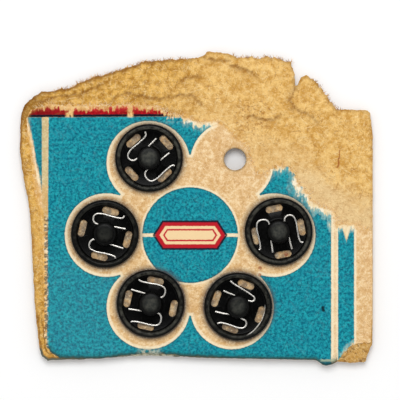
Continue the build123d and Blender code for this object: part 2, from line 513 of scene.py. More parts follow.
# %% Relief of the board
board_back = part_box("board")[0].z / MM
board_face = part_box("board")[1].z / MM
tear_start, tear_end, tear_drop = 18.3, 27.8, 0.4
step_waver, step_rise, step_rise_reach, step_fall, step_fall_reach = 0.45, 0.16, 1.6, 0.09, 0.5
bare_reach, bare_drop, paste = 0.8, 0.04, 0.01
round_reach, round_drop = 0.5, 0.12
ply_steps = [
    [
        (-14.5, 19.6), (-12.4, 20.6), (-7.4, 19.4), (-4.4, 19.7),
        (-1.8, 20.2), (-0.2, 19.6), (1.1, 18.4),
    ],
    [(17.3, 21.3), (16.7, 19.0), (17.2, 17.6), (19.6, 17.0), (21.5, 15.2)],
    [(6.3, 25.2), (9.5, 24.2), (10.7, 23.3)],
    [(2.0, 26.5), (3.8, 26.2), (5.8, 26.5)],
    [(-27.5, 19.0), (-23.5, 19.9), (-20.5, 20.2), (-17.0, 21.8)],
    [(9.5, 16.4), (12.5, 15.6), (14.6, 16.2)],
    [(-2.5, 22.6), (-1.0, 23.2), (0.6, 23.4)],
]


def lumps(spots, pace, seed, octaves=4):
    places = [Vector((x * pace, y * pace, seed)) for x, y in spots]
    return np.array([noise.fractal(place, 0.7, 2.0, octaves) for place in places])


def near_steps(spots):
    """How far each spot is from the nearest wavering ply step, and if it is beyond it."""
    wobble = np.column_stack([lumps(spots, 0.9, 21.0), lumps(spots, 0.9, 22.0)])
    spots = spots + wobble * step_waver
    gap, beyond = np.full(len(spots), 99.0), np.zeros(len(spots))
    for step in ply_steps:
        line = np.array(step)
        for start, end in zip(line[:-1], line[1:]):
            run = end - start
            share = np.clip((spots - start) @ run / (run @ run), 0, 1)
            offset = spots - start - share[:, None] * run
            far = np.linalg.norm(offset, axis=1)
            side = run[0] * offset[:, 1] - run[1] * offset[:, 0]
            beyond = np.where(far < gap, np.sign(side), beyond)
            gap = np.minimum(far, gap)
    return gap, beyond


def thinned(up):
    """How much thinner the board is towards the torn top."""
    return np.clip((up - tear_start) / (tear_end - tear_start), 0, 1) * tear_drop


def board_height(spots, gap):
    bare = np.clip(-measure(spots, paper_line[:, :2])[0] / bare_reach, 0, 1)
    far, beyond = near_steps(spots)
    rise = np.exp(-far / step_rise_reach) * step_rise
    fall = np.exp(-far / step_fall_reach) * step_fall
    step = np.where(beyond > 0, rise, -fall)
    slope = thinned(spots[:, 1])
    rough = lumps(spots, 0.5, 5.0) * 0.09 + lumps(spots, 1.5, 6.0, 5) * 0.1
    rounded = np.clip(1 - gap / round_reach, 0, 1) ** 2 * round_drop
    return board_face - paste - rounded + bare * (rough + step - bare_drop) - slope


def board_notes(spots, gap):
    far, beyond = near_steps(spots)
    every_third = board_line[::3]
    reach = np.linalg.norm(spots[:, None, :] - every_third[None, :, :2], axis=2)
    return {
        "edge_gap": gap,
        "paper_gap": -measure(spots, paper_line[:, :2])[0],
        "step_shadow": np.where(beyond < 0, np.exp(-far / 0.35), np.exp(-far / 0.12)),
        "ragged": every_third[reach.argmin(1), 2],
    }


# %% Cut the board
columns = np.arange(-31.8, 31.9, 0.3)
board_rows = np.concatenate([np.arange(-28.3, 3.4, 0.42), np.arange(3.4, 28.4, 0.27)])
board = cut_sheet("torn_board", columns, board_rows, board_line, board_height, board_notes)
ply_levels = [1.05, 1.2, 1.34]
fray_pace, fray_layers, fray_depth, fray_share = 1.4, 9.0, 0.3, 0.8
soft_angle = 50
thicken(board, board_back, ply_levels)
places = read_places(board)
on_rim = recall(board, "edge_gap") < 0.01
normals = np.empty(len(places) * 3)
board.data.vertices.foreach_get("normal", normals)
outwards = normals.reshape(-1, 3) * (1, 1, 0)
frayed = on_rim & (places[:, 2] < board_face - fray_depth)
paced = places * (fray_pace, fray_pace, fray_layers)
fray = [noise.fractal(Vector(spot), 0.5, 2.0, 3) for spot in paced]
fray = np.array(fray) * np.where(frayed, recall(board, "ragged"), 0.0) * fray_share
write_places(board, places + outwards * fray[:, None])
wear_smooth(board, soft_angle)
print("board faces:", len(board.data.polygons))

# %% [markdown]
# ## Finish of the strawboard
# Pressed straw is a mass of short fibres in different yellows, with a few dark husks.
# One noise gives the mottling, and three stretched ones, laid at different angles, give
# threads that cross each other. The notes on the mesh darken the worn rim, paint shadow
# along the ply steps, and lighten the skin that shows where the paper has peeled off.

# %% Fibre group
def make_group(name, inputs, outputs):
    group = bpy.data.node_groups.new(name, "ShaderNodeTree")
    for label, kind in inputs:
        group.interface.new_socket(label, in_out="INPUT", socket_type=kind)
    for label in outputs:
        group.interface.new_socket(label, in_out="OUTPUT", socket_type="NodeSocketFloat")
    given, result = group.nodes.new("NodeGroupInput"), group.nodes.new("NodeGroupOutput")
    return group, given.outputs, result.inputs


fibres, given, result = make_group(
    "fibres",
    [("Place", "NodeSocketVector"), ("Fineness", "NodeSocketFloat")],
    ["Mottle", "Husks", "Threads", "Height"],
)
tree = fibres
coarse = grain(given["Place"], calc("MULTIPLY", given["Fineness"], 0.6), 7.0, 0.75)
fine = grain(given["Place"], calc("MULTIPLY", given["Fineness"], 4.2), 3.0, 0.6)
laid = []
for degrees in (12, 73, 139):
    turned_place = add_node("ShaderNodeMapping", vector_type="TEXTURE")
    feed(turned_place.inputs["Vector"], given["Place"])
    turned_place.inputs["Rotation"].default_value = (0, 0, math.radians(degrees))
    turned_place.inputs["Scale"].default_value = (2.6, 0.46, 1.0)
    laid.append(grain(turned_place.outputs["Vector"], given["Fineness"], 2.0, 0.6))
upper = any_of(*laid)
lower = calc("MINIMUM", laid[0], calc("MINIMUM", laid[1], laid[2]))
feed(result["Mottle"], ramp(coarse, 0.36, 0.64))
feed(result["Husks"], any_of(ramp(fine, 0.63, 0.73), ramp(lower, 0.36, 0.28)))
feed(result["Threads"], ramp(upper, 0.6, 0.72))
feed(result["Height"], calc("MULTIPLY_ADD", fine, 0.5, upper))


def use_group(group, **values):
    node = add_node("ShaderNodeGroup", node_tree=group)
    for label, value in values.items():
        feed(node.inputs[label], value)
    return node.outputs


# %% Straw and peeled skin
straw, tree, shader = new_finish("pressed straw")
place = millimetres()
flat_place = stretch(place, (1.0, 1.0, 0.0))
across, up, height = split(place)
straws = use_group(fibres, Place=place, Fineness=1.3)
chaff = use_group(fibres, Place=place, Fineness=3.1)
edge_gap = attribute("edge_gap")
face_up = ramp(height, board_back + 0.05, board_back + 0.15)

body = blend(straws["Mottle"], (208, 153, 68), (249, 206, 128))
worn = blend(straws["Mottle"], (176, 122, 36), (239, 189, 97))
tone = blend(ramp(across, 6.0, -8.0), body, worn)
left_edge = all_of(ramp(across, -24.0, -27.0), ramp(up, 7.0, 2.0))
tone = stain(tone, all_of(left_edge, ramp(up, -14.0, -8.0)), 0.4, (248, 200, 112))
blotches = ramp(grain(stretch(place, (1.0, 0.5, 1.0)), 0.9, 3.0, 0.6), 0.5, 0.68)
tone = stain(tone, all_of(blotches, left_edge), 0.45, (176, 108, 22))

peeled = calc("MULTIPLY_ADD", grain(place, 0.35), 6.0, attribute("paper_gap"))
peeled = all_of(ramp(peeled, 10.5, 4.5), ramp(across, -14.0, 4.0), face_up)
peeled = all_of(peeled, ramp(up, -22.0, -18.0), ramp(up, 9.0, 15.0, 1.0, 0.45))
skin = blend(straws["Mottle"], (214, 166, 96), (240, 201, 138))
right_skin = all_of(ramp(across, 15.0, 18.5), ramp(up, 8.5, 5.0))
skin = stain(skin, right_skin, 0.5, (238, 212, 166))
tone = stain(tone, peeled, 0.85, skin)
print("nodes of the straw:", len(tree.nodes))

# %% Corners, rims and marks of the strawboard
right_corner = all_of(ramp(across, 23.0, 24.5), ramp(up, -20.0, -22.0))
left_corner = all_of(ramp(across, -18.0, -22.0), ramp(up, -17.0, -21.0))
top_corner_shade = all_of(ramp(across, -25.5, -29.0), ramp(up, 13.5, 17.0))
tone = stain(tone, right_corner, 0.42, (172, 122, 52))
tone = stain(tone, straws["Threads"], 0.45, (254, 226, 168))
tone = stain(tone, straws["Husks"], ramp(peeled, 0.0, 1.0, 0.5, 0.3), (158, 100, 38))
tone = stain(tone, chaff["Husks"], 0.58, (160, 102, 40))
tone = stain(tone, chaff["Threads"], 0.55, (255, 230, 174))

ply_pace = 9.0
plies = calc("MULTIPLY_ADD", edge_gap, ply_pace, calc("MULTIPLY", grain(place, 0.5), ply_pace))
plies = all_of(ramp(calc("SINE", plies), 0.2, 0.9), face_up)
tone = stain(tone, all_of(plies, left_corner), 0.6, (122, 78, 28))
crumbs = ramp(grain(place, 1.1, 4.0, 0.75), 0.48, 0.66)
tone = stain(tone, all_of(crumbs, right_corner), 0.85, (118, 74, 24))
husky_spot, husky_reach = (10.0, 16.0), 5.5
husky = all_of(ramp(away_from(flat_place, husky_spot), husky_reach, 1.5), face_up)
husks = ramp(grain(place, 1.7, 3.0, 0.6), 0.53, 0.62)
tone = stain(tone, all_of(husks, husky), 0.6, (158, 96, 36))

rim_reach = calc("ADD", grain(place, 0.9), edge_gap)
rim_share = all_of(ramp(across, 8.0, -12.0, 0.35, 0.75), ramp(up, 12.0, 4.0, 1.0, 0.6))
tone = stain(tone, ramp(rim_reach, 1.15, 0.55), rim_share, (134, 86, 30))
# Painted shade: the top-left corner is darkened along the fold of board and paper.
tone = stain(tone, top_corner_shade, 0.5, (118, 72, 14))
# Painted shadow: a dark band along each ply step, widest on its low side, where the step casts its
# shade.
step_and_scratch_share = calc("MULTIPLY", face_up, 0.75)
tone = stain(tone, attribute("step_shadow"), step_and_scratch_share, (140, 88, 30))
# Painted shade on the wall of the empty hole.
hole_wall_shade = all_of(ramp(away_from(flat_place, empty_hole), 2.2, 2.0), face_up)
tone = stain(tone, hole_wall_shade, 0.85, (52, 38, 24))

# Painted shade and dirt: the board's rim along the foot, the edge turned away from the light, is
# darkened.
sole = all_of(ramp(edge_gap, 0.5, 0.2), ramp(up, -24.0, -25.2), ramp(across, 25.5, 24.0))
tone = stain(tone, sole, 0.9, (84, 98, 88))
frayed = all_of(ramp(across, -14.0, -12.0), ramp(across, -2.5, -4.5))
frayed = all_of(frayed, ramp(grain(place, 1.6), 0.35, 0.6))
tone = stain(tone, all_of(sole, frayed), 0.85, (206, 202, 178))
scratch_x, scratch_lean, scratch_low, scratch_high, scratch_fade = 24.1, 0.13, 7.0, 10.5, 0.3
scratch = calc("MULTIPLY_ADD", up, -scratch_lean, calc("SUBTRACT", across, scratch_x))
scratch = calc("ADD", scratch, ramp(grain(place, 1.2), 0.3, 0.7, -0.15, 0.15))
scratch = all_of(
    ramp(calc("ABSOLUTE", scratch), 0.2, 0.08),
    ramp(up, scratch_low, scratch_low + scratch_fade),
    ramp(up, scratch_high, scratch_high - scratch_fade),
)
tone = stain(tone, scratch, step_and_scratch_share, (160, 84, 34))

feed(shader.inputs["Base Color"], tone)
feed(shader.inputs["Roughness"], ramp(straws["Mottle"], 0.0, 1.0, 0.95, 0.82))
shader.inputs["Specular IOR Level"].default_value = 0.2
raise_bumps(shader, straws["Height"], 0.9, 0.2)
settle(board, straw, "strawboard", "board")
print("strawboard nodes:", len(tree.nodes))

# %% [markdown]
# ## Face paper
# The paper is a tenth of a millimetre thick and pasted down. It lifts a little along
# the tear. The mesh keeps how far each point is from the tear, so that the ink can
# stop short of it in fibres.

# %% Cut the face paper
paper_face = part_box("face_paper")[1].z / MM
snap_reach, torn_least = 6.8, 0.27
lift_reach, lift_least, lift_more, cockle = 1.2, 0.03, 0.08, 0.02


def paper_height(spots, gap):
    curl = lift_least + lift_more * np.clip(lumps(spots, 0.6, 31.0), 0, 1)
    lift = np.clip(1 - gap / lift_reach, 0, 1) ** 2 * curl
    hole_gaps = [np.linalg.norm(spots - np.array(hole), axis=1) for hole in hole_spots]
    loose = np.clip((np.min(hole_gaps, axis=0) - snap_reach) / 2.0, 0, 1)
    return paper_face + loose * (lift + lumps(spots, 0.35, 33.0) * cockle)


def paper_notes(spots, gap):
    torn = paper_line[paper_line[:, 2] > torn_least]
    near = np.linalg.norm(spots[:, None, :] - torn[None, :, :2], axis=2)
    best = near.argmin(1)
    return {"tear_gap": near[np.arange(len(best)), best] / (2 * torn[best, 2]), "edge_gap": gap}


paper_columns = np.arange(-30.2, 31.5, 0.3)
paper_rows = np.arange(-28.0, 18.6, 0.3)
paper = cut_sheet(
    "face_paper_sheet", paper_columns, paper_rows, paper_line, paper_height, paper_notes
)
thicken(paper, board_face, [])
wear_smooth(paper, soft_angle)
print("paper faces:", len(paper.data.polygons))

# %% [markdown]
# ## Print
# The print is flat fields of colour: a blue panel with a six-petalled flower left in
# the colour of the paper, a blue disc with a plain bar on it, a rule and a red band, and
# a narrow stripe down each side. Each field is a distance worked out in nodes, so its
# edge stays sharp at any size.

# %% Flower, disc and bar
print_paper, tree, shader = new_finish("printed paper")
place = millimetres()
flat_place = stretch(place, (1.0, 1.0, 0.0))
straws = use_group(fibres, Place=place, Fineness=0.8)
chaff = use_group(fibres, Place=place, Fineness=3.1)
ink_waver = 0.16
waver = add_node("ShaderNodeTexNoise")
feed(waver.inputs["Vector"], place)
waver.inputs["Scale"].default_value = 2.4
inked_place = add_node("ShaderNodeVectorMath", operation="MULTIPLY_ADD")
feed(inked_place.inputs[0], waver.outputs["Color"])
inked_place.inputs[1].default_value = (ink_waver, ink_waver, 0.0)
feed(inked_place.inputs[2], place)
x, y = (calc("SUBTRACT", side, ink_waver / 2) for side in split(inked_place.outputs[0])[:2])

flower_x, flower_y, petal_ring = -1.05, -4.7, 14.75
petal_radius, core_radius, disc_radius = 7.36, 14.2, 8.45
u = calc("SUBTRACT", x, flower_x)
v = calc("SUBTRACT", y, flower_y)
reach2 = calc("MULTIPLY_ADD", u, u, calc("MULTIPLY", v, v))
reach = calc("SQRT", reach2)
half_petal = math.radians(30)
turn = calc("WRAP", calc("ARCTAN2", v, u), half_petal, -half_petal)
along = calc("MULTIPLY", calc("MULTIPLY", reach, calc("COSINE", turn)), -2 * petal_ring)
petal_reach = calc("SQRT", calc("ADD", calc("ADD", reach2, petal_ring**2), along))
flower = any_of(under(petal_reach, petal_radius), under(reach, core_radius))
disc = under(reach, disc_radius)

bar_half_length, bar_half_height, bar_point, point_share = 6.6, 2.6, 1.7, 0.84
aside, above = calc("ABSOLUTE", u), calc("ABSOLUTE", v)
bar_end = calc("MULTIPLY_ADD", above, bar_point / bar_half_height, aside)
bar_end = calc("MULTIPLY", calc("SUBTRACT", bar_end, bar_half_length), point_share)
bar_gap = any_of(calc("SUBTRACT", above, bar_half_height), bar_end)
divider = all_of(within(v, -0.3, 0.3), within(reach, bar_half_length - 0.6, disc_radius + 0.4))
print("nodes of the flower:", len(tree.nodes))

# %% Panel, stripes, rule and band
panel_left, panel_right, panel_top, rule_top = -26.15, 23.85, 16.27, 16.78
left_stripe_end, stripe_start, stripe_end = -27.2, 25.07, 27.9
top_lean, side_lean = 0.006, 0.008
top_y = calc("MULTIPLY_ADD", x, -top_lean, y)
left_x = calc("MULTIPLY_ADD", y, -side_lean, x)
below_rule = under(top_y, panel_top)
panel = all_of(outside(under(left_x, panel_left)), under(x, panel_right), below_rule)
strand = grain(stretch(place, (3.2, 0.75, 1.0)), 0.8, 4.0, 0.65)
worn_side = calc("MULTIPLY_ADD", strand, -0.9, 26.95)
worn_side = calc("ADD", calc("MULTIPLY_ADD", y, 0.2, x), worn_side)
left_stripe = all_of(within(x, -30.5, left_stripe_end), below_rule, ramp(worn_side, -0.15, 0.2))
notch_x, notch_y, notch_slant = 26.55, -5.7, 0.3
notch_width = calc("MULTIPLY", calc("SUBTRACT", y, notch_y), notch_slant)
notch_side = calc("ABSOLUTE", calc("SUBTRACT", x, notch_x))
notch = under(calc("SUBTRACT", notch_side, notch_width), 0.0, 0.2)
right_stripe = all_of(within(x, stripe_start, stripe_end), outside(notch))
printed_panel = all_of(panel, any_of(outside(flower), all_of(disc, outside(divider))))
blue_field = any_of(printed_panel, right_stripe, left_stripe)
rule = within(top_y, panel_top, rule_top)
band = ramp(top_y, 16.68, 16.76)
over_panel = ramp(y, 16.0, 16.2)
print("nodes of the fields:", len(tree.nodes))

# %% [markdown]
# The inks are worn. Along the tear they end in fibres, the flat blue is mottled where
# the paper's grain took less of it, and the petals keep a paler rim where the snaps
# have kept the dirt off. All of this is noise that is weighed against the masks.

# %% Where the ink ends
notches = ramp(grain(stretch(place, (0.8, 0.15, 1.0)), 0.9), 0.42, 0.62)
tear_gap = attribute("tear_gap")
ragged_ink = calc("MULTIPLY_ADD", strand, 0.6, calc("MULTIPLY", grain(place, 1.7, 3.0), 0.4))
near_rule = ramp(y, 15.9, 16.3)
fringe = calc("ADD", tear_gap, ramp(y, 15.9, 16.3, 0.0, 0.2))
fringe = calc("MULTIPLY_ADD", ragged_ink, -4.2, fringe)
shorter = all_of(ramp(y, 15.6, 15.2, 0.0, 0.12), ramp(y, -14.0, -10.0))
fringe = calc("MULTIPLY_ADD", notches, -0.5, calc("SUBTRACT", fringe, shorter))
peak = all_of(ramp(y, 4.6, 6.4), ramp(x, 8.0, 10.0))
fuller = any_of(ramp(y, -18.0, -20.0), peak)
fringe = calc("MULTIPLY_ADD", fuller, 0.6, fringe)
inked = ramp(fringe, -1.8, -1.2)
for middle, half in ((-22.4, 0.7), (-11.6, 0.5)):
    rubbed_off = all_of(within(x, middle - half, middle + half, 0.25), near_rule)
    inked = all_of(inked, outside(all_of(rubbed_off, ramp(strand, 0.38, 0.5))))
band_start = calc("MULTIPLY_ADD", y, -0.6, calc("MULTIPLY_ADD", strand, -0.8, x))
inked = all_of(inked, any_of(below_rule, ramp(band_start, -39.9, -39.6)))
print("nodes with the tear:", len(tree.nodes))

# %% Inks
bite = grain(place, 2.1, 3.5, 0.78)
cloud = grain(place, 0.55, 3.0, 0.6)
tooth = grain(place, 1.3, 4.0, 0.78)
petal_gap = calc("SUBTRACT", petal_reach, petal_radius)
flower_gap = calc("MINIMUM", petal_gap, calc("SUBTRACT", reach, core_radius))
bare = blend(straws["Mottle"], (222, 178, 118), (240, 203, 150))
bare = blend(ramp(tooth, 0.5, 0.66, 0.0, 0.65), bare, (194, 142, 80))
bare = blend(ramp(tooth, 0.5, 0.36, 0.0, 0.65), bare, (255, 232, 188))
blue = blend(ramp(bite, 0.34, 0.66), (0, 94, 114), (28, 170, 182))
blue = blend(ramp(cloud, 0.35, 0.65, 0.0, 0.25), blue, (0, 112, 144))
faded = all_of(ramp(x, -6.0, -18.0), ramp(y, -4.0, -14.0))
blue = stain(blue, faded, 0.05, (140, 176, 172))
blue = stain(blue, straws["Threads"], 0.08, (128, 190, 192))
disc_rim = within(reach, disc_radius - 0.2, disc_radius, 0.1)
squeezed = any_of(within(flower_gap, 0.0, 0.16, 0.1), disc_rim)
blue = stain(blue, squeezed, 0.5, (6, 74, 78))
pale = any_of(
    within(flower_gap, -0.5, 0.2, 0.2),
    within(reach, disc_radius, disc_radius + 0.35, 0.15),
    within(x, panel_right, panel_right + 0.5, 0.15),
    calc("MULTIPLY", within(x, 24.2, 24.9), 0.5),
    all_of(divider, disc),
    all_of(within(worn_side, -0.5, -0.1, 0.15), within(y, 4.0, 15.5, 1.0), under(x, -27.4)),
    within(x, stripe_end, stripe_end + 0.4, 0.15),
    within(x, stripe_start - 0.32, stripe_start, 0.15),
)
tone = stain(bare, pale, 0.75, (254, 240, 206))
tone = blend(blue_field, tone, blue)
margin = all_of(within(x, left_stripe_end, panel_left), outside(left_stripe))
tone = stain(tone, all_of(margin, within(y, 4.0, 16.0, 0.5)), 0.5, (186, 190, 146))
tone = stain(tone, all_of(margin, within(y, -3.5, 4.5, 1.5)), 0.6, (200, 162, 92))
stripe_rim = all_of(left_stripe, within(x, -28.1, left_stripe_end, 0.3))
tone = stain(tone, stripe_rim, 0.3, (30, 92, 96))
tone = blend(rule, tone, (12, 10, 30))
red = blend(ramp(bite, 0.3, 0.7), (128, 0, 10), (196, 8, 28))
red = blend(ramp(y, 16.9, 18.2, 0.0, 0.6), red, (226, 74, 70))
red = blend(ramp(x, -20.0, -28.0, 0.0, 0.6), red, (104, 0, 6))
tone = blend(band, tone, red)
bar_inks = [
    (0.0, (28, 26, 44)), (-0.35, (190, 24, 38)), (-1.0, (246, 214, 164)),
    (-1.5, (198, 34, 48)), (-1.8, (246, 214, 164)),
]
for level, ink in bar_inks:
    tone = blend(all_of(under(bar_gap, level), disc), tone, ink)
print("nodes with the inks:", len(tree.nodes))

# %% Fibres along the tear
whitened = ramp(grain(place, 0.75, 3.0, 0.6), 0.42, 0.6)
tanned = calc("MULTIPLY", any_of(peak, ramp(x, 24.0, 25.0)), 0.75)
pale_fibre = blend(straws["Mottle"], (238, 208, 156), (250, 230, 188))
pale_fibre = stain(pale_fibre, all_of(whitened, outside(tanned)), 0.8, (255, 248, 226))
tan_fibre = blend(straws["Mottle"], (204, 150, 78), (244, 200, 132))
skin = blend(straws["Mottle"], (214, 166, 96), (240, 201, 138))
tan_ends = any_of(ramp(y, 15.8, 16.4), under(y, -21.0, 1.0))
torn_fibre = blend(tan_ends, pale_fibre, tan_fibre)
notched = all_of(notch, within(x, 24.9, 28.1))
torn_fibre = blend(any_of(blue_field, notched, over_panel), bare, torn_fibre)
torn_fibre = blend(ramp(tear_gap, 0.05, 0.45), skin, torn_fibre)
thin_ink = all_of(ramp(fringe, -0.3, -1.2), blue_field, under(y, 15.4))
thin_ink = all_of(thin_ink, ramp(y, -0.5, 1.5, 0.45, 0.25))
tone = blend(thin_ink, tone, (196, 222, 204))
tone = blend(all_of(notched, ramp(y, notch_y, notch_y + 0.5)), tone, pale_fibre)
tone = blend(inked, torn_fibre, tone)
print("nodes with the fibres:", len(tree.nodes))

# %% [markdown]
# Then come the marks of use and some painted shade: the left edge worn down to the straw,
# a dark line along the foot that is painted shade and crushed blue, a stretch of the foot
# that is rubbed pale, dots of ink along the left border, a folded tab, a few specks and
# rust spots, the dark round and under the snaps, partly black that they have left on the
# paper and partly painted shade, and painted shade at the rim of the empty hole.

# %% Worn edges and foot
edge_gap = attribute("edge_gap")
worn_reach = calc("MULTIPLY_ADD", ragged_ink, 1.6, edge_gap)
worn_away = all_of(ramp(worn_reach, 1.7, 0.8), under(x, -26.3, 0.5), ramp(y, 15.0, 12.0, 0.2, 1.0))
beside_stripe = all_of(under(worn_side, -0.6, 0.2), under(y, 16.0), under(x, -27.5, 0.3))
worn_away = any_of(worn_away, calc("MULTIPLY", beside_stripe, 0.7))
worn_tan = blend(straws["Mottle"], (202, 145, 56), (246, 196, 106))
tone = stain(tone, worn_away, 0.9, worn_tan)
foot = all_of(under(y, -23.8, 0.3), under(x, 24.9))
# Painted shade and crushed ink: the blue darkens along the foot, the edge turned away from the light.
tone = stain(tone, all_of(under(edge_gap, 0.7, 0.5), foot), 0.45, (8, 92, 92))
tone = stain(tone, all_of(under(edge_gap, 0.3, 0.2), foot), 0.7, (52, 66, 54))
rubbed_foot = all_of(within(x, -10.0, -6.4, 0.8), under(y, -24.75, 0.3))
rubbed_foot = all_of(rubbed_foot, ramp(grain(place, 1.6), 0.38, 0.55))
tone = stain(tone, rubbed_foot, 0.6, (206, 204, 180))
wide_place = stretch(place, (0.6, 1.0, 1.0))
dots = ramp(grain(wide_place, 1.5, 2.0), 0.45, 0.53)
dabs = ramp(grain(wide_place, 1.9, 2.0), 0.5, 0.6)
beside_blue = all_of(within(x, -26.8, -26.1, 0.15), under(y, -1.2, 0.8))
tone = stain(tone, all_of(beside_blue, dabs), 0.6, (252, 240, 212))
tone = stain(tone, all_of(beside_blue, dots), 0.75, (58, 56, 46))
tab_foot = under(calc("MULTIPLY_ADD", ragged_ink, 0.8, y), -26.2)
tab = all_of(within(x, 22.0, 24.5, 0.4), tab_foot)
tone = stain(tone, tab, 0.5, (14, 62, 74))
tone = stain(tone, all_of(tab, within(y, -27.0, -26.5, 0.2)), 0.55, (206, 212, 172))
print("nodes with the edges:", len(tree.nodes))

# %% Specks, soil and painted shade
specks = [
    ((22.4, -17.5), 0.3, (6, 18, 24)), ((22.5, -17.95), 0.28, (6, 18, 24)),
    ((11.3, -10.5), 0.32, (170, 104, 62)), ((11.25, -11.7), 0.28, (180, 116, 70)),
    ((15.9, -8.1), 0.35, (176, 96, 48)),
]
for spot, size, shade in specks:
    tone = stain(tone, under(away_from(flat_place, spot), size, 0.12), 0.9, shade)
snap_boxes = [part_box(node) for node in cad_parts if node.startswith("socket_")]
snap_middles = [(low + high) / 2 / MM for low, high in snap_boxes]
snap_gap = away_from(flat_place, snap_middles[0].xy)
for middle in snap_middles[1:]:
    snap_gap = calc("MINIMUM", snap_gap, away_from(flat_place, middle.xy))
# Soil and painted shade: the paper darkens close round each snap and in its sewing holes, black
# rubbed off the japan and the shade of the snap, more under the lower snaps.
soil_and_shade = calc("ADD", ramp(snap_gap, 7.2, 6.2, 0.0, 0.36), ramp(snap_gap, 6.4, 6.05, 0.0, 0.3))
soil_and_shade = all_of(soil_and_shade, ramp(y, -8.0, -12.0, 1.1, 1.4))
in_holes = ramp(grain(place, 0.9, 3.0, 0.6), 0.36, 0.62, 0.3, 0.78)
darker = calc("SUBTRACT", in_holes, soil_and_shade)
soil_and_shade = calc("MULTIPLY_ADD", under(snap_gap, 5.5, 0.3), darker, soil_and_shade)
tone = blend(soil_and_shade, tone, (84, 82, 82))
hole_gap = away_from(flat_place, empty_hole)
# Painted shade at the rim of the empty hole, and a faint darker tan round it.
tone = stain(tone, ramp(hole_gap, 2.35, 2.0), 0.6, (116, 92, 58))
tone = stain(tone, ramp(hole_gap, 3.8, 2.2), 0.14, (150, 104, 44))
husk_share = ramp(blue_field, 0.0, 1.0, 0.14, 0.03)
tone = stain(tone, straws["Husks"], husk_share, (186, 130, 70))
unprinted = outside(all_of(inked, any_of(blue_field, over_panel)))
tone = stain(tone, all_of(chaff["Husks"], unprinted), 0.5, (182, 124, 66))
tone = stain(tone, all_of(chaff["Threads"], unprinted), 0.5, (255, 238, 204))
feed(shader.inputs["Base Color"], tone)
feed(shader.inputs["Roughness"], ramp(bite, 0.3, 0.7, 0.78, 0.62))
shader.inputs["Specular IOR Level"].default_value = 0.12
raise_bumps(shader, straws["Height"], 0.35, 0.08)
settle(paper, print_paper, "printed_paper", "face_paper")
print("printed paper nodes:", len(tree.nodes))

# %% [markdown]
# ## Loose fibres
# A tear in board or paper leaves fibres standing out of its edge. They are too thin for
# the grid, so each is a short bent curve that tapers, and all the hairs of one sheet are
# made one mesh. They start on the torn line and point away from the sheet.

# %% Hairs along the tears
chance = np.random.default_rng(7)
hair_side, hair_top = 31.15, 27.7
hair_spread, hair_bend, hair_root, hair_lift, hair_taper = 0.6, 0.35, 0.2, 0.06, 0.75


def hairs(name, line, count, levels, reach, thickness):
    """Short bent hairs that stand out of a torn line, as one piece."""
    ahead = np.roll(line[:, :2], -1, 0) - np.roll(line[:, :2], 1, 0)
    torn_steps = np.flatnonzero(line[:, 2] > torn_least)
    deselect()
    bpy.ops.curve.primitive_bezier_curve_add()
    tuft = bpy.context.object
    tuft.name = tuft.data.name = name
    tuft.data.splines.clear()
    for step in chance.choice(torn_steps, count):
        out = Vector((ahead[step, 1], -ahead[step, 0])).normalized()
        out.rotate(Matrix.Rotation(chance.normal(0, hair_spread), 2))
        bend = Vector((-out.y, out.x)) * chance.normal(0, hair_bend)
        length = chance.uniform(*reach)
        root = Vector(line[step, :2]) - out * hair_root
        start, end = levels(root)
        level = chance.uniform(start, end)
        hair = tuft.data.splines.new("POLY")
        hair.points.add(3)
        for share, knot in zip((0.0, 0.35, 0.7, 1.0), hair.points):
            spot = root + (out * share + bend * share**2) * length
            spot.x = max(-hair_side, min(hair_side, spot.x))
            spot.y = max(-hair_top, min(hair_top, spot.y))
            knot.co = (spot.x * MM, spot.y * MM, (level + share**2 * hair_lift) * MM, 1.0)
            knot.radius = 1.0 - hair_taper * share
    tuft.data.bevel_depth = thickness * MM
    tuft.data.bevel_resolution = 0
    tuft.data.use_fill_caps = True
    tuft.data.dimensions = "3D"
    bpy.ops.object.convert(target="MESH")
    return bpy.context.object


def board_levels(root):
    return board_back + 0.15, board_face - thinned(root.y) - 0.2


def paper_levels(root):
    return paper_face - 0.02, paper_face + 0.05


board_hairs = hairs("board_hairs", board_line, 520, board_levels, (0.35, 0.9), 0.045)
paper_hairs = hairs("paper_hairs", paper_line, 320, paper_levels, (0.4, 1.1), 0.035)
note(board_hairs, "pale", np.zeros(len(board_hairs.data.vertices)))
note(paper_hairs, "pale", np.ones(len(paper_hairs.data.vertices)))
print("hair faces:", len(board_hairs.data.polygons), len(paper_hairs.data.polygons))

# %% Loose fibre
loose, tree, shader = new_finish("loose fibre")
place = millimetres()
patchy = ramp(grain(place, 0.9, 2.0), 0.35, 0.65)
straw_tone = blend(patchy, (160, 106, 40), (236, 186, 108))
paper_tone = blend(patchy, (232, 196, 142), (250, 234, 200))
feed(shader.inputs["Base Color"], blend(attribute("pale"), straw_tone, paper_tone))
feed(shader.inputs["Roughness"], ramp(patchy, 0.0, 1.0, 0.95, 0.8))
shader.inputs["Specular IOR Level"].default_value = 0.2
settle(board_hairs, loose, "strawboard")
settle(paper_hairs, loose, "printed_paper")
print("loose fibre nodes:", len(tree.nodes))

# %% [markdown]
# ## Turning the snaps
# Both halves of a snap are pressed from sheet and are round, so each is turned from a
# profile, as on a lathe: one vertex is extruded along the profile and the line is spun
# round the axis. The oblong sewing holes are then cut through with a boolean.

# %% Helpers for turned pieces
turned_steps, merge_reach = 96, 0.002


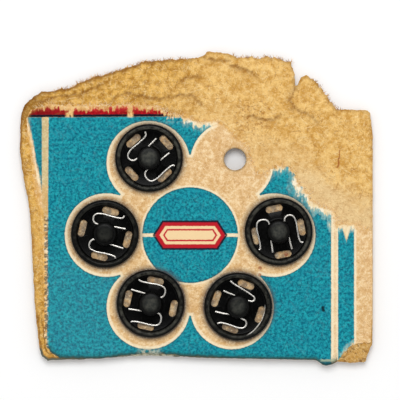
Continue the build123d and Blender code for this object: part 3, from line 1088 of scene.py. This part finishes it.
def turned(name, profile):
    """A piece spun from a closed profile of (radius, height) in mm."""
    deselect()
    bpy.ops.mesh.primitive_plane_add(size=MM)
    piece = bpy.context.object
    piece.name = piece.data.name = name
    edit(piece)
    bpy.ops.mesh.select_mode(type="VERT")
    bpy.ops.mesh.select_all(action="SELECT")
    bpy.ops.mesh.merge(type="CENTER")
    last = (0.0, 0.0)
    for number, (radius, level) in enumerate(profile):
        by = ((radius - last[0]) * MM, 0, (level - last[1]) * MM)
        if number:
            bpy.ops.mesh.extrude_region_move(TRANSFORM_OT_translate={"value": by})
        else:
            bpy.ops.transform.translate(value=by)
        last = (radius, level)
    bpy.ops.mesh.select_all(action="SELECT")
    bpy.ops.mesh.spin(steps=turned_steps, angle=math.tau, center=(0, 0, 0), axis=(0, 0, 1))
    bpy.ops.mesh.select_all(action="SELECT")
    bpy.ops.mesh.remove_doubles(threshold=merge_reach * MM)
    bpy.ops.mesh.normals_make_consistent(inside=False)
    bpy.ops.object.mode_set(mode="OBJECT")
    return piece


def arc(middle, radius, start, end, count):
    """Points of a profile round part of a circle, in degrees."""
    turns = np.radians(np.linspace(start, end, count))
    return [(middle[0] + radius * math.cos(t), middle[1] + radius * math.sin(t)) for t in turns]


def block(middle, size, rounding):
    """A block with its upright corners rounded, to cut with."""
    deselect()
    bpy.ops.mesh.primitive_cube_add(size=1.0)
    made = bpy.context.object
    made.scale = [side * MM for side in size]
    made.location = [side * MM for side in middle]
    bpy.ops.object.transform_apply(location=True, rotation=False, scale=True)
    if rounding:
        edit(made)
        bpy.ops.mesh.select_mode(type="EDGE")
        bpy.ops.mesh.select_all(action="DESELECT")
        bpy.ops.object.mode_set(mode="OBJECT")
        for line in made.data.edges:
            ends = [made.data.vertices[end].co for end in line.vertices]
            line.select = abs(ends[0].z - ends[1].z) > 1e-6
        bpy.ops.object.mode_set(mode="EDIT")
        bpy.ops.mesh.bevel(offset=rounding * MM, segments=6, affect="EDGES")
        bpy.ops.object.mode_set(mode="OBJECT")
    return made


def spin_about(piece, degrees):
    piece.rotation_euler = (0, 0, math.radians(degrees))
    choose(piece)
    bpy.ops.object.transform_apply(location=True, rotation=True, scale=True)


def cut_away(piece, cutter):
    choose(piece)
    cut = piece.modifiers.new("cut", "BOOLEAN")
    cut.operation = "DIFFERENCE"
    cut.solver = "EXACT"
    cut.object = cutter
    bpy.ops.object.modifier_apply(modifier=cut.name)
    bpy.data.objects.remove(cutter)


sewing_reach, sewing_width, sewing_length, sewing_rounding = 4.1, 1.2, 3.0, 0.58


def cut_sewing_holes(piece, low, high):
    for quarter in range(4):
        size = (sewing_width, sewing_length, high - low)
        hole = block((sewing_reach, 0, (low + high) / 2), size, sewing_rounding)
        spin_about(hole, quarter * 90)
        cut_away(piece, hole)


def soften(piece, width, angle):
    """A small bevel on every sharp edge, so that it catches the light."""
    choose(piece)
    edge = piece.modifiers.new("soft edge", "BEVEL")
    edge.width = width * MM
    edge.segments = 2
    edge.limit_method = "ANGLE"
    edge.angle_limit = math.radians(angle)
    edge.use_clamp_overlap = True
    bpy.ops.object.modifier_apply(modifier=edge.name)


# %% [markdown]
# ## Socket half
# The socket is what shows. Its edge is rolled into a bead, the floor lies low inside it,
# and a closed dome stands in the middle over the ball of the stud. A window in each
# side of the dome lets a spring reach the ball.

# %% Socket
seat, floor_level, spring_level = 1.97, 2.29, 2.5
dome_level, roof_level, bore = 3.67, 3.37, 1.82
bead = (5.47, seat + 0.55)
socket_profile = [(bore, seat), (3.6, seat), (5.1, seat)]
socket_profile += arc(bead, 0.53, -100, 180, 20)
socket_profile += [(4.92, floor_level + 0.12), (4.84, floor_level + 0.03)]
socket_profile += [(4.72, floor_level), (2.5, floor_level)]
socket_profile += [(2.22, floor_level + 0.02), (2.13, floor_level + 0.12), (2.08, dome_level - 0.5)]
socket_profile += arc((1.45, dome_level - 0.62), 0.6, 10, 75, 9)
socket_profile += [(1.2, dome_level - 0.01), (0.7, dome_level), (0, dome_level)]
socket_profile += [(0, roof_level), (1.5, roof_level), (bore, roof_level - 0.25), (bore, seat)]
socket = turned("snap_socket", socket_profile)
cut_sewing_holes(socket, seat - 0.2, floor_level + 0.2)
window_reach, window_level, window_size = 1.85, 2.58, (4.4, 1.5, 0.56)
for side in (1, -1):
    cut_away(socket, block((0, side * window_reach, window_level), window_size, 0))
sharp_angle, edge_width = 35, 0.05
soften(socket, edge_width, sharp_angle)
wear_smooth(socket, sharp_angle)
print("socket faces:", len(socket.data.polygons))

# %% [markdown]
# ## Stud half
# The stud lies behind the card and shows from below and from the side. It is a plate
# with its edge turned back, the same sewing holes, and a ball that stands up through
# the card on a short neck. The ball is hollow, so its back is a dimple.

# %% Stud
board_seat, plate = 0.9, 0.32
stud_profile = [(0.78, board_seat - plate), (1.0, board_seat - plate), (4.8, board_seat - plate)]
stud_profile += [(4.93, board_seat - plate - 0.04), (5.0, board_seat - plate - 0.12)]
stud_profile += arc((5.45, 0.44), 0.44, 190, 360, 14)
stud_profile += [(5.98, 0.6), (5.98, 0.8), (5.9, board_seat - 0.02), (5.8, board_seat)]
stud_profile += [(1.6, board_seat), (1.32, board_seat + 0.06), (1.25, board_seat + 0.2), (1.25, 2.76)]
stud_profile += [(1.6, 2.82), (1.7, 2.95), (1.68, 3.1), (1.5, 3.22), (1.1, 3.27), (0, 3.27)]
stud_profile += [(0, 1.85), (0.5, 1.8), (0.74, 1.6), (0.78, board_seat - plate)]
stud = turned("snap_stud", stud_profile)
cut_sewing_holes(stud, board_seat - plate - 0.2, board_seat + 0.2)
soften(stud, edge_width, sharp_angle)
wear_smooth(stud, sharp_angle)
print("stud faces:", len(stud.data.polygons))

# %% [markdown]
# ## Wire springs
# Two bent wires lie in each socket, one on each side of the ball. Each runs along the
# ball's neck, hooks round and comes back beside the dome, and ends in a tail against
# the bead. The wires have slipped a little in every snap, and those of one have spread.
# A curve with a round section gives a smooth wire, and is made a mesh.

# %% Spring
wire_radius, wire_reach = 0.165, 4.72
wire_stops = [
    (3.2, 1.72), (0.8, 1.56), (-1.8, 1.34), (-2.5, 1.6), (-2.8, 2.2), (-2.6, 2.8),
    (-1.95, 3.14), (0.4, 3.18), (1.75, 3.24), (2.25, 3.42), (2.5, 3.92),
]


def slipped(slip):
    """The same wire slid along, pushed out and turned a little, ending inside the bead."""
    along, out, degrees = slip
    turn = math.radians(degrees)
    moved = []
    for u, v in wire_stops:
        spot = Vector((u + along, v + out * min(max(v - 1.7, 0.0), 1.0)))
        spot.rotate(Matrix.Rotation(turn, 2))
        if spot.length > wire_reach:
            moved.append(spot * (wire_reach / spot.length))
            break
        moved.append(spot)
    return moved


def bent_wire(name, stops, mirror):
    deselect()
    bpy.ops.curve.primitive_bezier_curve_add()
    wire = bpy.context.object
    wire.name = wire.data.name = name
    line = wire.data.splines[0]
    line.bezier_points.add(len(stops) - 2)
    for knot, (along, aside) in zip(line.bezier_points, stops):
        knot.co = (along * MM, aside * mirror * MM, spring_level * MM)
        knot.handle_left_type = knot.handle_right_type = "AUTO"
    line.resolution_u = 8
    wire.data.bevel_depth = wire_radius * MM
    wire.data.bevel_resolution = 4
    wire.data.use_fill_caps = True
    bpy.ops.object.convert(target="MESH")
    wire = bpy.context.object
    edit(wire)
    bpy.ops.mesh.select_all(action="SELECT")
    bpy.ops.mesh.remove_doubles(threshold=merge_reach * MM)
    bpy.ops.mesh.normals_make_consistent(inside=False)
    bpy.ops.object.mode_set(mode="OBJECT")
    wear_smooth(wire, soft_angle)
    return wire


spring_slips = {
    "right": ((0.3, 0.1, 0), (0.22, 0.45, 0)),
    "top_left": ((0.1, 0.0, 0), (0.1, 0.4, 0)),
    "left": ((0.12, 0.08, 0), (0.55, 0.18, 0)),
    "bottom_left": ((0.41, 0.45, 0), (0.7, 0.29, 0)),
}
spread_a = [
    (3.5, 2.2), (1.8, 1.98), (0.4, 1.66), (-0.8, 1.68), (-1.5, 1.78), (-2.15, 1.96), (-2.42, 2.45),
    (-2.28, 3.05), (-1.75, 3.4), (0.06, 3.52), (1.4, 3.62), (2.0, 3.76), (2.4, 4.06),
]
spread_b = [
    (3.4, 1.76), (1.95, 1.66), (-0.6, 1.6), (-1.6, 1.62), (-2.1, 1.8), (-2.28, 2.18),
    (-2.1, 2.52), (-1.6, 2.7), (1.0, 3.3), (2.2, 3.56), (2.6, 3.72), (2.85, 3.75),
]
bends = {spot: [slipped(slip) for slip in slips] for spot, slips in spring_slips.items()}
bends["bottom_right"] = [spread_a, spread_b]
springs = {}
for spot, stops in bends.items():
    springs["spring_a", spot] = bent_wire(f"snap_spring_a_{spot}", stops[0], 1)
    springs["spring_b", spot] = bent_wire(f"snap_spring_b_{spot}", stops[1], -1)
print("springs:", len(springs))

# %% [markdown]
# ## Japan black and bright wire
# The pressed halves are dipped in black japan, a thick glossy varnish. It has dulled.
# The crown of the rim and the top of the dome are lighter grey, partly japan that fingers
# and cards have rubbed thin and partly painted highlight, more on some snaps than others.
# One socket has a painted highlight, a bright arc inside its rim. The springs are bare
# drawn steel, a little dull in places.

# %% Group for wear and painted sheen
rubbed, given, result = make_group(
    "rubbed", [("Place", "NodeSocketVector"), ("Crown", "NodeSocketFloat")], ["Rub", "Dust", "Height"]
)
tree = rubbed
patches = grain(given["Place"], 1.1, 4.0, 0.65)
scuffs = grain(stretch(given["Place"], (3.0, 0.7, 1.0)), 2.4, 3.0, 0.6)
feed(result["Rub"], all_of(ramp(patches, 0.36, 0.66, 0.15, 1.0), given["Crown"]))
feed(result["Dust"], ramp(scuffs, 0.5, 0.8))
feed(result["Height"], calc("MULTIPLY_ADD", scuffs, 0.4, patches))

# %% Black japan
for half in (socket, stud):
    note(half, "reach", np.linalg.norm(read_places(half)[:, :2], axis=1))
japan, tree, shader = new_finish("black japan")
place = millimetres()
flat_place = stretch(place, (1.0, 1.0, 0.0))
reach, wear_and_sheen = attribute("reach"), attribute("wear_and_sheen")
rim_crown = all_of(ramp(reach, 4.95, 5.25), ramp(reach, 5.75, 5.45))
dome_top = ramp(reach, 1.85, 0.6)
rub_and_sheen = use_group(rubbed, Place=place, Crown=all_of(any_of(rim_crown, dome_top), wear_and_sheen))
tone = blend(rub_and_sheen["Dust"], (3, 3, 3), (15, 15, 14))
# Wear and painted highlight: the dome's top and the crown of the rim are lightened, japan rubbed thin
# together with the light they would catch.
tone = stain(tone, dome_top, wear_and_sheen, (40, 43, 42))
tone = stain(tone, rub_and_sheen["Rub"], 0.6, (92, 91, 82))
# Painted highlight: a bright arc along the inner wall of the bottom right socket's rim.
glint_centre, glint_radius, glint_width = (6.2, -17.03), 5.96, 0.07
glint_middle, glint_reach, glint_low = (11.31, -20.1), 3.4, 2.1
arc_gap = away_from(flat_place, glint_centre)
painted_glint = all_of(
    within(arc_gap, glint_radius - glint_width, glint_radius + glint_width, 0.06),
    ramp(away_from(flat_place, glint_middle), glint_reach, glint_reach - 1.2),
    ramp(split(place)["Z"], glint_low, glint_low + 0.1),
)
tone = blend(painted_glint, tone, (226, 222, 212))
feed(shader.inputs["Base Color"], tone)
feed(shader.inputs["Roughness"], ramp(rub_and_sheen["Dust"], 0.0, 1.0, 0.28, 0.5))
shader.inputs["Specular IOR Level"].default_value = 0.08
raise_bumps(shader, rub_and_sheen["Height"], 0.25, 0.05)
print("black japan nodes:", len(tree.nodes))

# %% Spring steel
steel, tree, shader = new_finish("spring steel")
place = millimetres()
dulled = use_group(rubbed, Place=place, Crown=1.0)
tone = blend(dulled["Dust"], (216, 213, 206), (160, 152, 140))
feed(shader.inputs["Base Color"], tone)
shader.inputs["Metallic"].default_value = 1.0
feed(shader.inputs["Roughness"], ramp(dulled["Rub"], 0.0, 1.0, 0.22, 0.42))
raise_bumps(shader, dulled["Height"], 0.15, 0.02)
print("spring steel nodes:", len(tree.nodes))

# %% [markdown]
# ## Closing the snaps through the card
# Each snap has slid and turned a little in its hole. The CAD sockets give the places,
# and the turns follow the springs in the photograph. Every copy has its own mesh.

# %% Five snaps
snap_turns = {"right": -79, "top_left": 42, "left": -14, "bottom_left": 168, "bottom_right": 160}
# How strongly each socket's crown and dome are lightened, for wear and for painted highlight.
snap_wear_and_sheen = {"right": 0.9, "top_left": 1.0, "left": 0.3, "bottom_left": 0.9, "bottom_right": 0.65}
halves = {"socket": socket, "stud": stud}


def close_snap(piece, finish, slot, kind, spot):
    """Turns a piece, puts it in the middle of its CAD socket and settles it."""
    low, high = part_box(f"socket_{spot}")
    middle = (low + high) / 2
    piece.name = piece.data.name = f"snap_{kind}_{spot}"
    piece.location = (middle.x, middle.y, 0)
    spin_about(piece, snap_turns[spot])
    settle(piece, finish, slot, f"{kind}_{spot}")


for spot in snap_turns:
    for kind, pattern in halves.items():
        piece = pattern.copy()
        piece.data = pattern.data.copy()
        bpy.context.scene.collection.objects.link(piece)
        note(piece, "wear_and_sheen", np.full(len(piece.data.vertices), snap_wear_and_sheen[spot]))
        close_snap(piece, japan, "black_japanned_metal", kind, spot)
for (kind, spot), wire in springs.items():
    close_snap(wire, steel, "spring_wire", kind, spot)
for pattern in halves.values():
    bpy.data.objects.remove(pattern)
print("snaps:", len(snap_turns))
